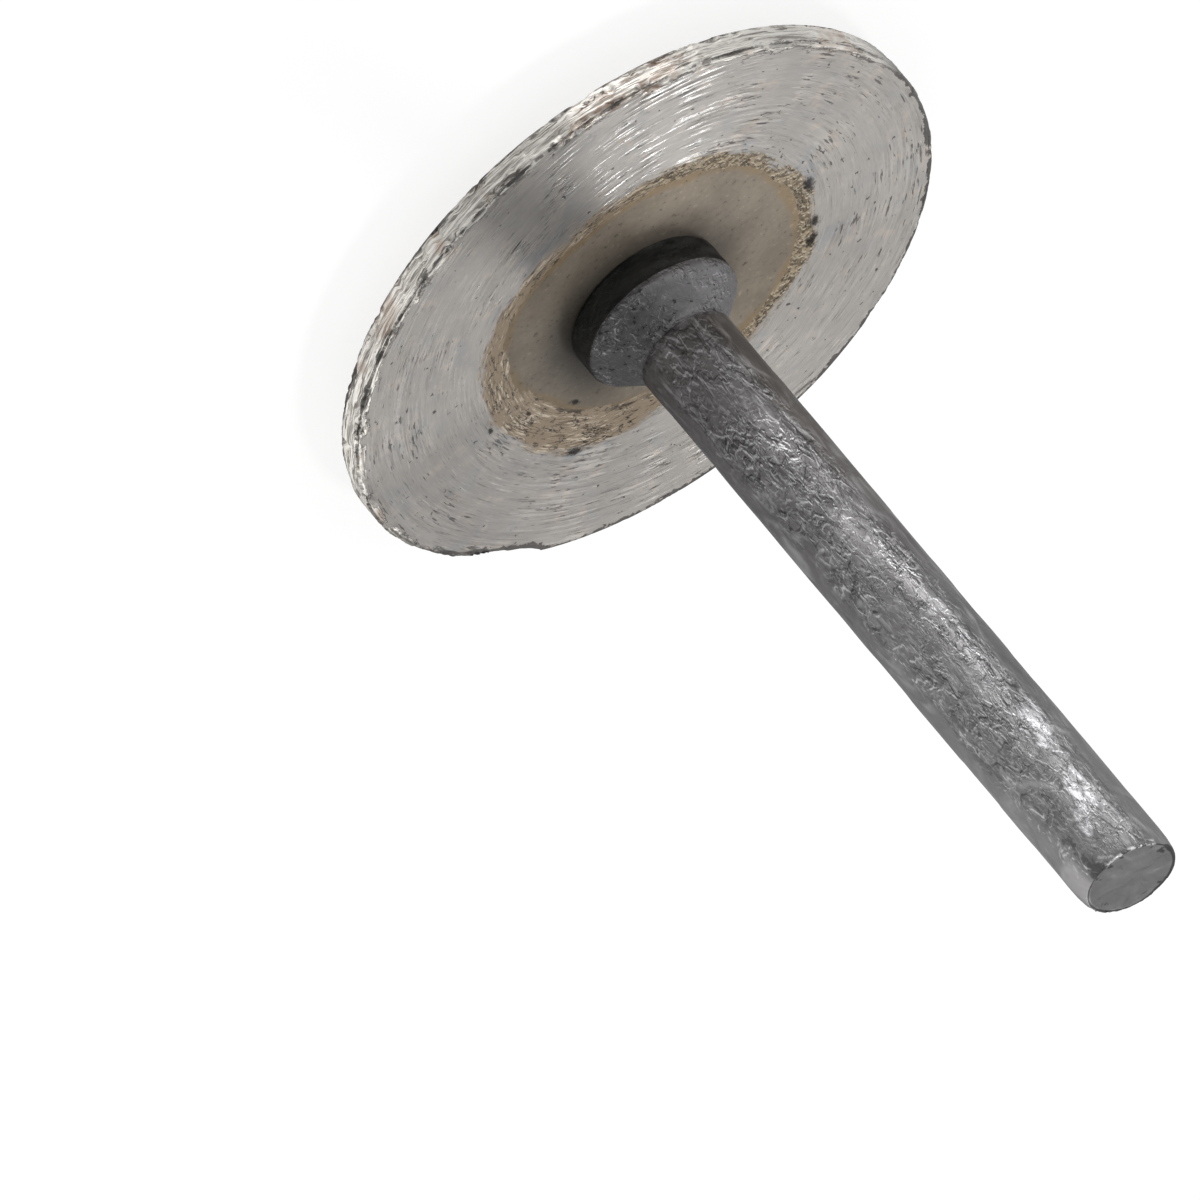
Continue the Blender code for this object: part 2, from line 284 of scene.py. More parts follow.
def rim_bite(x, y, z):
    """How deep the rim's two corners are chipped at a point, in millimetres: most on its -Y side."""
    radius, height = math.hypot(x, y) / MM, z / MM
    point = Vector((x, y, z)) / MM
    depth = 0
    toward_torn = TORN_SIDE[0] * x + TORN_SIDE[1] * y
    chipped_side = 0.25 + 0.75 * ramp(toward_torn, -0.1 * RIM_RADIUS, 0.5 * RIM_RADIUS)
    for level, bite in ((DISC_TOP / MM, 0.13), (DISC_BOTTOM / MM, 0.06)):
        to_corner = math.hypot(RIM_RADIUS / MM - radius, level - height)
        if to_corner < 0.4:
            shift = Vector((0, 0, level))
            ragged = noise.noise(point * 1.1 + shift) + 0.6 * noise.noise(point * 4.7 + shift)
            share = chipped_side * (1 - ramp(to_corner, 0.02, 0.30 + 0.2 * ragged))
            depth += bite * ramp(ragged, 0.08, 0.70) * share
    return depth


def disc_wear(x, y, z):
    """How deep the disc is worn at a point, in millimetres."""
    radius, angle, height = math.hypot(x, y) / MM, math.atan2(y, x), z / MM
    depth = 0.003 + 0.003 * noise.noise(Vector((x, y, z)) / MM * 0.6)
    depth += 0.006 * max(0, noise.noise(along_ring(radius, angle, height, 5, 4.5)))
    if radius > RIM_RADIUS / MM - 0.05:
        layers = noise.noise(along_ring(0, angle, height, 7, 5.5))
        fine = noise.noise(along_ring(0, angle, height, 60, 8))
        depth += 0.040 * ramp(layers, 0.0, 0.12) + 0.012 * (1 + fine)
    return depth + rim_bite(x, y, z)


def make_disc():
    """The disc: bore, hub floor, ground face, rim, and back over the head side."""
    floor, face = DISC_TOP - RECESS_DEPTH, DISC_TOP
    under_floor, under_face = DISC_BOTTOM + RECESS_DEPTH, DISC_BOTTOM
    section = (
        (BORE_RADIUS, floor, 0),
        (FLANGE_ZONE_RADIUS, floor, 3),
        (HUB_FLOOR_RADIUS, floor, 6),
        (GROUND_FACE_RADIUS, face, 20),
        (RIM_ZONE_RADIUS, face, 9),
        (RIM_RADIUS - RIM_CORNER, face, 15),
        (RIM_RADIUS, face - RIM_CORNER, 1),
        (RIM_RADIUS, under_face + RIM_CORNER, 14),
        (RIM_RADIUS - RIM_CORNER, under_face, 1),
        (RIM_ZONE_RADIUS, under_face, 13),
        (HEAD_SIDE_FACE_RADIUS, under_face, 7),
        (HEAD_SIDE_FLOOR_RADIUS, under_floor, 26),
        (BORE_RADIUS, under_floor, 3),
        (BORE_RADIUS, floor, 2),
    )
    disc = spun("ground_disc", section, DISC_SIDES, closed=True)
    drawn = places(disc)
    fit_to(disc, "disc")
    radius, angle = np.hypot(drawn[:, 0], drawn[:, 1]) / MM, np.arctan2(drawn[:, 1], drawn[:, 0])
    inside = np.linalg.norm(places(disc) - drawn, axis=1) / MM - OUT_OF_ROUND
    broken_out = np.where(radius > BREAKS_BEYOND, np.maximum(inside, 0), 0)
    bitten = np.array([rim_bite(*point) for point in drawn.tolist()])
    wear(disc, drawn, disc_wear)
    top_side = drawn[:, 2] > DISC_MIDDLE
    tan_edge = np.where(top_side, outline(TAN_EDGE, angle), outline(HEAD_SIDE_TAN_EDGE, angle))
    floor_edge = np.where(top_side, outline(FLOOR_EDGE, angle), outline(HEAD_SIDE_FLOOR_EDGE, angle))
    note(disc, "past_tan_edge", radius - tan_edge)
    note(disc, "past_floor_edge", radius - floor_edge)
    note(disc, "broken", broken_out + bitten)
    note(disc, "from_corner", corner_distance(radius, drawn[:, 2] / MM))
    note(disc, "from_rim", rim_distance(disc, drawn))
    only(disc)
    bpy.ops.object.shade_smooth_by_angle(angle=SHARP_CORNER)
    disc.data.materials.append(disc_finish())
    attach(disc, "root")
    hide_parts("disc")


def rim_distance(disc, drawn):
    """How far each point of the fitted disc lies from the rim beside it, chips and all, in millimetres."""
    turn = np.arctan2(drawn[:, 1], drawn[:, 0]) / math.tau * DISC_SIDES
    column = np.rint(turn).astype(int) % DISC_SIDES
    radius = np.hypot(*places(disc)[:, :2].T) / MM
    rim = np.zeros(DISC_SIDES)
    np.maximum.at(rim, column, radius)
    return rim[column] - radius


def corner_distance(radius, height):
    """How far each point lies from the nearer corner of the rim, in millimetres."""
    out = RIM_RADIUS / MM - radius
    return np.minimum(np.hypot(out, DISC_TOP / MM - height), np.hypot(out, DISC_BOTTOM / MM - height))


def shank_wear(x, y, z):
    """The mandrel's skin: overlapping scales drawn out along the shank, and pits in the collar."""
    point = Vector((x, y, z)) / MM
    drawn_out = Vector((point.x, point.y, point.z * 0.3))
    warp = noise.noise_vector(drawn_out * 0.9) * 0.5
    scales = ramp(noise.noise(drawn_out * 1.3 + warp), -0.06, 0.06)
    depth = 0.008 + 0.016 * scales + 0.006 * noise.noise(drawn_out * 3.5)
    if point.z < SHANK_FOOT / MM:
        depth = 0.006 + 0.014 * ramp(noise.noise(point * 3.2), 0.05, 0.35)
    return depth


def make_shank():
    """The mandrel from its slanted end down to the foot of the stem, all but the rivet head."""
    stem_foot = HEAD_TOP - 0.02 * MM
    section = (
        (0, SHANK_TOP, 0),
        (END_EDGE_RADIUS, SHANK_TOP, 16),
        (SHANK_RADIUS, SHANK_TOP - END_ROUNDING, 13),
        (SHANK_RADIUS, SHANK_FOOT, 300),
        (NECK_RADIUS, SHANK_FOOT - NECK_DEPTH, 2),
        (CONE_TOP_RADIUS, CONE_TOP, 5),
        (CONE_FOOT_RADIUS, FLANGE_TOP, 20),
        (FLANGE_RADIUS, FLANGE_TOP - 0.1 * MM, 1),
        (FLANGE_RADIUS, FLANGE_SEAT + FLANGE_CORNER, 14),
        (FLANGE_RADIUS - FLANGE_CORNER, FLANGE_SEAT, 1),
        (STEM_RADIUS, FLANGE_SEAT, 8),
        (STEM_RADIUS, stem_foot, 6),
        (0, stem_foot, 6),
    )
    shank = spun("mandrel_shank", section, MANDREL_SIDES)
    drawn = places(shank)
    fitted = shank.vertex_groups.new(name="fitted")
    fitted.add(np.flatnonzero(drawn[:, 2] > SKIN_FOOT).tolist(), 1, "REPLACE")
    fit_to(shank, "mandrel", "fitted")
    wear(shank, drawn, lambda x, y, z: shank_wear(x, y, z) if z > SKIN_FOOT else 0)
    radius, height = np.hypot(drawn[:, 0], drawn[:, 1]), drawn[:, 2]
    beyond_cone = radius > FLANGE_RADIUS - FLANGE_CORNER - 0.01 * MM
    note(shank, "on_flange_side", beyond_cone & (height < FLANGE_TOP - 0.05 * MM))
    inside_edge = radius < END_EDGE_RADIUS - 0.04 * MM
    note(shank, "on_end_face", inside_edge & (height > SHANK_TOP - 0.01 * MM))
    note(shank, "from_end_edge", np.hypot(radius - END_EDGE_RADIUS, height - SHANK_TOP) / MM)
    only(shank)
    bpy.ops.object.shade_smooth_by_angle(angle=SHARP_CORNER)
    shank.data.materials.append(mandrel_finish())
    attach(shank, "root")
    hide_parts("mandrel")


def head_wear(x, y, z):
    """The head's ridges are burred, and its pits are a little rough."""
    point = Vector((x, y, z)) / MM
    burr = ramp(noise.noise(point * 3.5), -0.3, 0.5) * (1 - ramp(point.z, 0.0, 0.12))
    return 0.035 * burr + 0.004 * (1 + noise.noise(point * 9))


def bend_ridges(head):
    """Shifts the pressed face a little sideways, so that its ridges run as unevenly as on a worn die."""
    points = places(head)
    for index, (x, y, z) in enumerate(points.tolist()):
        point = Vector((x, y, z)) / MM
        share = 0.05 * MM * (1 - ramp(point.z, 0.1, 0.5))
        drift = noise.noise_vector(point * 1.7) * share
        points[index, 0] += drift.x
        points[index, 1] += drift.y
    head.data.vertices.foreach_set("co", points.ravel())
    head.data.update()


def make_head():
    """The rivet head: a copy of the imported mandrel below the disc, made fine enough to wear."""
    source = frame["nodes"]["mandrel"]
    head = source.copy()
    head.data = source.data.copy()
    head.name = "rivet_head"
    # The copy is a new piece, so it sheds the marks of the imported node
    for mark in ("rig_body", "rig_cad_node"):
        del head[mark]
    head.parent = None
    head.data.materials.clear()
    bpy.context.scene.collection.objects.link(head)
    head.hide_render = head.hide_viewport = False
    only(head)
    bpy.ops.object.mode_set(mode="EDIT")
    bpy.ops.mesh.select_all(action="SELECT")
    bpy.ops.mesh.remove_doubles(threshold=MERGE_DISTANCE)
    level = (0, 0, HEAD_TOP - 0.01 * MM)
    bpy.ops.mesh.bisect(plane_co=level, plane_no=(0, 0, 1), use_fill=True, clear_outer=True)
    bpy.ops.object.mode_set(mode="OBJECT")
    remesh = head.modifiers.new("Even", "REMESH")
    remesh.mode = "VOXEL"
    remesh.voxel_size = HEAD_VOXEL
    bpy.ops.object.modifier_apply(modifier=remesh.name)
    bend_ridges(head)
    wear(head, places(head), head_wear)
    only(head)
    bpy.ops.object.shade_smooth_by_angle(angle=SHARP_HEAD_CORNER)
    head.data.materials.append(head_finish())
    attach(head, "root")
    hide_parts("mandrel")


def tone(red, green, blue):
    """A colour given as it looks, 0 to 255, for a node that takes linear light."""
    def linear(value):
        share = value / 255
        return share / 12.92 if share <= 0.04045 else ((share + 0.055) / 1.055) ** 2.4
    return (linear(red), linear(green), linear(blue), 1)


class Value:
    """An output of a node. Python's operators on it add Math nodes."""

    def __init__(self, nodes, socket):
        self.nodes = nodes
        self.socket = socket

    def __add__(self, other):
        return self.nodes.work_out("ADD", self, other)

    def __sub__(self, other):
        return self.nodes.work_out("SUBTRACT", self, other)

    def __mul__(self, other):
        return self.nodes.work_out("MULTIPLY", self, other)

    def __rsub__(self, other):
        return self.nodes.work_out("SUBTRACT", other, self)

    def __abs__(self):
        return self.nodes.work_out("ABSOLUTE", self, 0)

    __radd__ = __add__
    __rmul__ = __mul__


class Nodes:
    """The nodes of a finish or of the world."""

    def __init__(self, tree):
        self.tree = tree

    def feed(self, socket, value):
        """Gives a socket a number or a colour, or links it to a node's output."""
        if isinstance(value, Value):
            self.tree.links.new(value.socket, socket)
        else:
            socket.default_value = value

    def add(self, kind, settings=None, inputs=None, output=0):
        """Adds a node, sets it up, feeds its inputs and returns one of its outputs."""
        node = self.tree.nodes.new(kind)
        for name, value in (settings or {}).items():
            setattr(node, name, value)
        for name, value in (inputs or {}).items():
            self.feed(node.inputs[name], value)
        return Value(self, node.outputs[output])

    def work_out(self, operation, first, second):
        return self.add("ShaderNodeMath", {"operation": operation}, {0: first, 1: second})

    def largest(self, *shares):
        most = shares[0]
        for share in shares[1:]:
            most = self.work_out("MAXIMUM", most, share)
        return most

    def part_of(self, vector, axis):
        return self.add("ShaderNodeSeparateXYZ", inputs={0: vector}, output=axis)

    def vector(self, x, y, z):
        return self.add("ShaderNodeCombineXYZ", inputs={0: x, 1: y, 2: z})

    def length(self, vector):
        return self.add("ShaderNodeVectorMath", {"operation": "LENGTH"}, {0: vector}, output="Value")


class Finish(Nodes):
    """A material under construction. Its patterns are in millimetres, on the piece's own coordinates."""

    def __init__(self, name, **constants):
        self.material = bpy.data.materials.new(name)
        self.material.use_nodes = True
        super().__init__(self.material.node_tree)
        self.shader = self.tree.nodes["Principled BSDF"]
        for socket, value in constants.items():
            self.feed(self.shader.inputs[socket.replace("_", " ")], value)
        in_metres = self.add("ShaderNodeTexCoord", output="Object")
        self.place = self.lit(in_metres, 1 / MM)
        self.x, self.y, self.z = (self.part_of(self.place, axis) for axis in "XYZ")
        flat = self.vector(self.x, self.y, 0.0)
        self.radius = self.length(flat)
        facing = self.add("ShaderNodeVectorMath", {"operation": "NORMALIZE"}, {0: flat})
        self.facing_x, self.facing_y = (self.part_of(facing, axis) for axis in "XY")

    def noted(self, name):
        return self.add("ShaderNodeAttribute", {"attribute_name": name}, output="Fac")

    def grain(self, place, scale=1.0, detail=2.0, roughness=0.5, distortion=0.0):
        """Noise from 0 to 1, about 0.5 in the middle."""
        values = {
            "Vector": place,
            "Scale": scale,
            "Detail": detail,
            "Roughness": roughness,
            "Distortion": distortion,
        }
        return self.add("ShaderNodeTexNoise", {"noise_dimensions": "3D"}, values)

    def steps(self, place, shift, low, high, *noise):
        """Steps in a noise, and their edges: 1 on the side that the shift points to, -1 on the other."""
        aside = self.add("ShaderNodeVectorMath", {"operation": "ADD"}, {0: place, 1: shift})
        here, there = (self.mask(self.grain(spot, *noise), low, high) for spot in (place, aside))
        return here, here - there

    def mask(self, value, start, end):
        """0 at start, 1 at end, smooth between them."""
        values = {"Value": value, "From Min": start, "From Max": end}
        return self.add("ShaderNodeMapRange", {"interpolation_type": "SMOOTHSTEP"}, values)

    def blend(self, share, first, second):
        """One colour where share is 0 and the other where it is 1."""
        return self.add("ShaderNodeMix", {"data_type": "RGBA"}, {0: share, 6: first, 7: second}, output=2)

    def level(self, share, first, second):
        """One number where share is 0 and the other where it is 1."""
        return self.add("ShaderNodeMix", {"data_type": "FLOAT"}, {0: share, 2: first, 3: second})

    def lit(self, colour, factor):
        """A colour made lighter or darker by a factor, or a vector made longer or shorter."""
        start = colour if isinstance(colour, Value) else colour[:3]
        return self.add("ShaderNodeVectorMath", {"operation": "SCALE"}, {0: start, "Scale": factor})

    def ring_place(self, along, across, offset=0.0, lean=0.0):
        """A place for strokes round the axis: changes a radian along and a millimetre across, and lean."""
        height = (self.radius + self.z + self.facing_x * lean) * across + offset
        return self.vector(self.facing_x * along, self.facing_y * along, height)

    def toward(self, angle, wide, narrow, ragged=0.0):
        """1 within some degrees of an angle about the axis, fading to 0 at the wider ones."""
        turn = math.radians(angle)
        near = self.facing_x * math.cos(turn) + self.facing_y * math.sin(turn) + ragged
        return self.mask(near, math.cos(math.radians(wide)), math.cos(math.radians(narrow)))

    def long_place(self, share):
        """A place for a pattern that is drawn out along the axis."""
        return self.vector(self.x, self.y, self.z * share)

    def end(self, colour, roughness, metallic, height, depth):
        """Feeds the shader. A height of 1 stands as many millimetres proud as depth says."""
        relief = {"Strength": 1.0, "Distance": depth * MM, "Height": height}
        bump = self.add("ShaderNodeBump", inputs=relief)
        varying = {"Base Color": colour, "Roughness": roughness, "Metallic": metallic, "Normal": bump}
        for name, value in varying.items():
            self.feed(self.shader.inputs[name], value)
        return self.material


def ground_tint(steel, patches, mottle):
    """The silver's own colour: lighter and darker greys, warm spots, and a bluish cast near the belt."""
    colour = steel.blend(steel.grain(steel.place, 0.35, 3.0), tone(140, 136, 132), tone(166, 163, 159))
    bluish = steel.mask(steel.grain(steel.place, 0.9, 3.0, 0.6), 0.52, 0.68)
    near_belt = steel.mask(steel.noted("past_tan_edge"), 1.8, 0.0)
    colour = steel.blend(bluish * (0.18 + near_belt * 0.35), colour, tone(132, 136, 141))
    warm = steel.mask(mottle + (patches - 0.5) * 0.4, 0.54, 0.66)
    return steel.blend(warm * 0.30, colour, tone(176, 162, 150))


def ground_nicks(steel, colour, patches, lower_side):
    """Dashes along the grinding, nicks that lie thicker near the rim, and pits. Colour and depth."""
    dashes = steel.grain(steel.ring_place(8.0, 14.0, 131.0, 0.9), 1.0, 2.0, 0.6)
    dark_dashes = steel.mask(dashes, 0.62, 0.70) * (0.24 + lower_side * 0.28)
    light_dashes = steel.mask(dashes, 0.36, 0.28) * 0.22
    colour = steel.blend(dark_dashes, colour, tone(84, 80, 77))
    colour = steel.blend(light_dashes, colour, tone(214, 208, 202))
    nicks = steel.grain(steel.ring_place(12.0, 11.0, 63.5, 0.6), 1.0, 3.0, 0.6)
    near_rim = steel.mask(steel.noted("from_rim"), 0.9, 0.2)
    dark = steel.mask(nicks + patches * 0.5 + near_rim * 0.03, 0.90, 0.96)
    pits = steel.mask(steel.grain(steel.place, 4.0, 3.0), 0.69, 0.74)
    colour = steel.blend(steel.largest(dark * 0.75, pits * 0.85), colour, tone(62, 60, 59))
    return colour, dark * 0.4 + pits * 0.8


def ground_face(steel, head_side):
    """Silver, ground round and round: soft strokes, polished streaks, painted light and shade by angle.
    Colour, height and polish.
    """
    broad = steel.grain(steel.ring_place(2.4, 5.0, lean=0.8), 1.0, 4.0, 0.65)
    one_way = steel.grain(steel.ring_place(6.0, 17.0, 30.0, -1.6), 1.0, 4.0, 0.7)
    other_way = steel.grain(steel.ring_place(6.0, 17.0, 95.0, 1.4), 1.0, 4.0, 0.7)
    turned_round = steel.mask(steel.grain(steel.place, 0.6, 2.0), 0.42, 0.58)
    fine = steel.level(turned_round, one_way, other_way)
    streaks = steel.grain(steel.ring_place(3.0, 9.0, 55.0, 0.9), 1.0, 4.0, 0.65)
    patches = steel.grain(steel.place, 0.8, 2.0)
    mottle = steel.grain(steel.place, 1.7, 4.0, 0.65)
    # Painted highlight: the bright fan of reflected light near 250 degrees on the top face
    highlight_arc = steel.toward(250, 24, 9) * (1 - head_side)
    # The lower side is darkened below as painted shade; it also dulls the polish and holds more dark dashes
    lower_side = steel.toward(30, 54, 30) * (1 - head_side)
    matt_side = steel.largest(lower_side, steel.toward(155, 80, 40) * (1 - head_side) * 0.7)
    polished = steel.mask(streaks + (patches - 0.5) * 0.5 + highlight_arc * 0.03, 0.54, 0.66)
    polished = polished * (1 - matt_side * 0.7)
    scored = steel.mask(streaks - (patches - 0.5) * 0.5, 0.42, 0.34)
    # Grain, with painted light and shade by angle: lighter towards 155 degrees, painted shade on the lower
    # side, a painted dark reflection fan near 274 degrees, and darker near 216 and 68 degrees
    grain_and_painted_light = 0.65 + broad * 0.30 + fine * 0.32 + mottle * 0.20 + highlight_arc * 0.03
    grain_and_painted_light = grain_and_painted_light + steel.toward(155, 40, 20) * 0.05 - lower_side * 0.26 - steel.toward(274, 18, 8) * 0.13
    grain_and_painted_light = grain_and_painted_light - steel.toward(216, 24, 10) * 0.05 - steel.toward(68, 20, 8) * 0.06
    colour = steel.lit(ground_tint(steel, patches, mottle), grain_and_painted_light)
    # Whiter polished streaks and darker scores; the extra on the head's side and in the arc near 250
    # degrees is painted highlight and shade
    whiter = polished * (0.12 + head_side * 0.50 + highlight_arc * 0.45)
    darker = scored * (0.16 + head_side * 0.36 + highlight_arc * 0.25)
    colour = steel.blend(whiter, colour, tone(226, 225, 223))
    colour = steel.blend(darker, colour, tone(92, 90, 88))
    colour, nick_depth = ground_nicks(steel, colour, patches, lower_side)
    height = broad * 0.6 + fine * 0.7 + polished * 0.5 - scored * 0.4 - nick_depth
    return colour, height, polished


def belt_marks(steel):
    """Black marks in the belt, each ragged round its place and drawn out along the ring."""
    ragged = steel.grain(steel.place, 6.0, 4.0, 0.8) - 0.5
    shares = []
    for x, y, size in BELT_MARKS:
        aside = steel.vector(steel.x - x, steel.y - y, (steel.radius - math.hypot(x, y)) * 1.6)
        apart = steel.length(aside) + ragged * size * 4
        shares.append(steel.mask(apart, size * 2.0, size * 0.7))
    return steel.largest(*shares)


def belt_grit(steel, head_side):
    """Sandy grit with a painted highlight on one edge of each grain and painted shade on the other, darker
    on the head's side. Colour and height.
    """
    grit, grit_edge = steel.steps(steel.place, (0.04, 0.04, 0), 0.42, 0.57, 4.6, 3.0, 0.65)
    hollow = steel.blend(head_side, tone(104, 91, 72), tone(66, 54, 40))
    colour = steel.blend(grit, hollow, tone(158, 143, 119))
    # Painted highlight on one side of each grain, then painted shade on the other side
    colour = steel.blend(steel.largest(grit_edge * 0.8, 0.0), colour, tone(218, 207, 186))
    shade = steel.largest(grit_edge * -1, 0.0) * (0.45 + head_side * 0.45)
    return steel.blend(shade, colour, tone(34, 28, 22)), grit


def belt_cracks(steel, patches, head_side):
    """Short dark cracks and pits in the belt, and a broken line along a part of its inner edge."""
    split = steel.grain(steel.ring_place(7.0, 5.0, 41.0, 1.8), 1.0, 3.0, 0.65)
    cracks = steel.mask(abs(split - 0.5), 0.030, 0.006)
    cracks = cracks * steel.mask(steel.grain(steel.place, 2.4, 2.0), 0.48, 0.55)
    pits = steel.mask(steel.grain(steel.place, 3.6, 4.0, 0.7), 0.61, 0.66)
    inner_edge = steel.mask(abs(steel.noted("past_floor_edge") - 0.10 + (split - 0.5) * 0.5), 0.09, 0.03)
    inner_edge = inner_edge * steel.toward(48, 34, 20) * steel.mask(patches, 0.36, 0.50) * (1 - head_side)
    return steel.largest(cracks * (0.90 - head_side * 0.4), pits * 0.75, inner_edge * 0.85)


def tan_belt(steel, head_side):
    """The rough tan belt round the hub: cream strokes that cross, cracks and grit. Colour and height."""
    patches = steel.grain(steel.place, 0.9, 3.0)
    long_strokes = steel.grain(steel.ring_place(5.0, 8.0, 11.0, 1.2), 1.0, 3.0, 0.6)
    thin_strokes = steel.grain(steel.ring_place(7.0, 15.0, 21.0, -1.4), 1.0, 4.0, 0.7)
    light = steel.mask(long_strokes * 0.5 + thin_strokes * 0.5 + (patches - 0.5) * 0.3, 0.51, 0.59)
    shade = steel.mask(long_strokes * 0.4 + thin_strokes * 0.6 - (patches - 0.5) * 0.3, 0.46, 0.38)
    colour = steel.blend(patches, tone(122, 108, 91), tone(158, 142, 122))
    # Painted light: the belt is lighter on the head's side
    colour = steel.lit(colour, 1.0 + head_side * 0.18)
    colour = steel.blend(light * (0.60 + head_side * 0.20), colour, tone(214, 201, 182))
    colour = steel.blend(shade * 0.65, colour, tone(78, 65, 52))

    beside_floor = steel.mask(steel.radius + (patches - 0.5) * 1.2, 4.55, 4.15)
    lower_patch = steel.toward(-60, 24, 14) * steel.mask(steel.radius, 3.4, 3.8)
    to_one_side = steel.mask(steel.facing_x + (patches - 0.5) * 1.6, -0.1, -0.6) * 0.85
    gritty = steel.level(head_side, to_one_side, steel.largest(beside_floor, lower_patch))
    sand, grit = belt_grit(steel, head_side)
    colour = steel.blend(gritty, colour, sand)
    cracks = belt_cracks(steel, patches, head_side)
    colour = steel.blend(cracks, colour, tone(40, 33, 27))
    return colour, (light - shade * 0.7) * (1 - gritty) + grit * gritty * 1.2 - cracks


def hub_floor(steel, head_side):
    """The pressed hub: grey brown and specked, ochre at its edge, with painted shade round the collar.
    Colour, height.
    """
    fine = steel.grain(steel.place, 5.0, 4.0, 0.7)
    cloud = steel.grain(steel.place, 0.5, 4.0, 0.55)
    colour = steel.blend(steel.mask(cloud, 0.3, 0.7), tone(123, 113, 100), tone(142, 132, 118))
    # Painted light: the hub is lighter on the head's side
    colour = steel.lit(colour, 1.0 + head_side * 0.35)
    ochre = steel.mask(steel.noted("past_floor_edge") + cloud * 1.2, 0.25, 0.60)
    colour = steel.blend(ochre * 0.55, colour, tone(140, 116, 78))
    colour = steel.lit(colour, 0.80 + fine * 0.40)
    colour = steel.blend(steel.mask(fine, 0.62, 0.70) * 0.45, colour, tone(178, 168, 150))
    colour = steel.blend(steel.mask(fine, 0.39, 0.32) * 0.6, colour, tone(62, 55, 47))
    # Painted shade on the top side: darker round the collar and towards +X
    shade = 0.42 + steel.mask(steel.radius, 2.3, 4.4) * 0.58 - steel.mask(steel.facing_x, -0.7, 0.9) * 0.32
    pressed = steel.noted("past_floor_edge") + (cloud - 0.5) * 0.3
    step = steel.mask(abs(pressed + 0.36), 0.16, 0.0) * steel.mask(steel.facing_y, -0.6, 0.0) * head_side
    return steel.lit(colour, steel.level(head_side, shade, 1.0)), fine * 0.9 + step * 2.5


def rim_wall(steel):
    """The rim's wall: whitish, torn in strokes along it, dark marks at its corners, painted light and shade
    by angle. Colour and height.
    """
    strokes = steel.grain(steel.ring_place(6.0, 14.0, 80.0), 1.0, 4.0, 0.7)
    ragged = steel.grain(steel.ring_place(11.0, 5.0, 90.0), 1.0, 4.0, 0.75)
    patches = steel.grain(steel.place, 0.9, 2.0)
    # Painted light towards 206 degrees, and painted shade near 188 degrees where the wall is seen edge-on
    top_side = steel.toward(206, 40, 18)
    edge_on = steel.toward(188, 30, 16)
    pale = steel.mask(strokes + top_side * 0.06, 0.38, 0.61)
    colour = steel.blend(pale, tone(126, 121, 115), tone(228, 225, 219))
    # Painted light and shade by angle: lighter towards 322 degrees, darker near 277, 188 and 226 degrees
    gain = steel.toward(322, 30, 18) * 0.26 - steel.toward(277, 18, 9) * 0.16
    gain = gain - edge_on * 0.10 - steel.toward(226, 20, 10) * 0.22
    colour = steel.lit(colour, 1.0 + gain)
    stain = steel.mask(steel.grain(steel.place, 0.8, 2.0), 0.56, 0.68)
    colour = steel.blend(stain * 0.45, colour, tone(140, 114, 92))
    brown = steel.toward(247, 16, 8) * steel.mask(ragged, 0.50, 0.62)
    colour = steel.blend(brown * 0.6, colour, tone(128, 98, 78))
    marks = steel.mask(ragged + patches * 0.6 - steel.noted("from_corner") * 0.5, 0.77, 0.85)
    colour = steel.blend(marks * (0.80 - top_side * 0.35), colour, tone(62, 59, 56))
    return colour, strokes * (1.6 - edge_on * 1.3) - marks * (1 - edge_on * 0.8)


def rim_dirt_and_shade(steel, band, torn, toward_torn, head_side):
    """How dark the rim is: its band's inner line, burrs, the chipped edge, dark on the far side and partly
    painted shade, split, and what is broken out.
    """
    from_rim = steel.noted("from_rim")
    patches = steel.grain(steel.place, 0.9, 2.0)
    crack = steel.grain(steel.ring_place(4.0, 6.0, 33.0), 1.0, 4.0, 0.7)
    across_line = from_rim - band - 0.02 - (crack - 0.4) * 0.35
    in_patches = steel.mask(patches + (torn - 0.5) * 0.5, 0.44, 0.56)
    lined = steel.largest(in_patches, steel.toward(196, 34, 20) * 0.8)
    rim_line = steel.mask(abs(across_line), 0.040, 0.012) * lined
    burr = steel.mask(steel.noted("from_corner") - torn * 0.20, 0.0, -0.03) * steel.mask(torn, 0.40, 0.52)
    # A dark band along the face's edge on the far side: partly dirt, partly painted shade of a bevel that
    # faces away from the light
    far_side = steel.mask(toward_torn, 0.45, 0.10) * (1 - steel.toward(212, 30, 14) * 0.85)
    nibbled = steel.grain(steel.place, 2.4, 4.0, 0.75) - 0.5
    edge_width = 0.15 + (torn - 0.5) * 0.5 + nibbled * 0.7 + steel.toward(37, 11, 5) * 0.28
    edge = steel.mask(from_rim - edge_width, 0.04, 0.0) * far_side
    across_split = from_rim - 0.24 - (torn - 0.5) * 0.2
    split = steel.mask(abs(across_split), 0.07, 0.03) * steel.toward(26, 7, 5) * (1 - head_side)
    broken = steel.mask(steel.noted("broken") + (torn - 0.5) * 0.16, 0.04, 0.16)
    return steel.largest(broken * 0.75, rim_line * 0.66, burr * 0.7, edge * 0.82, split * 0.8)


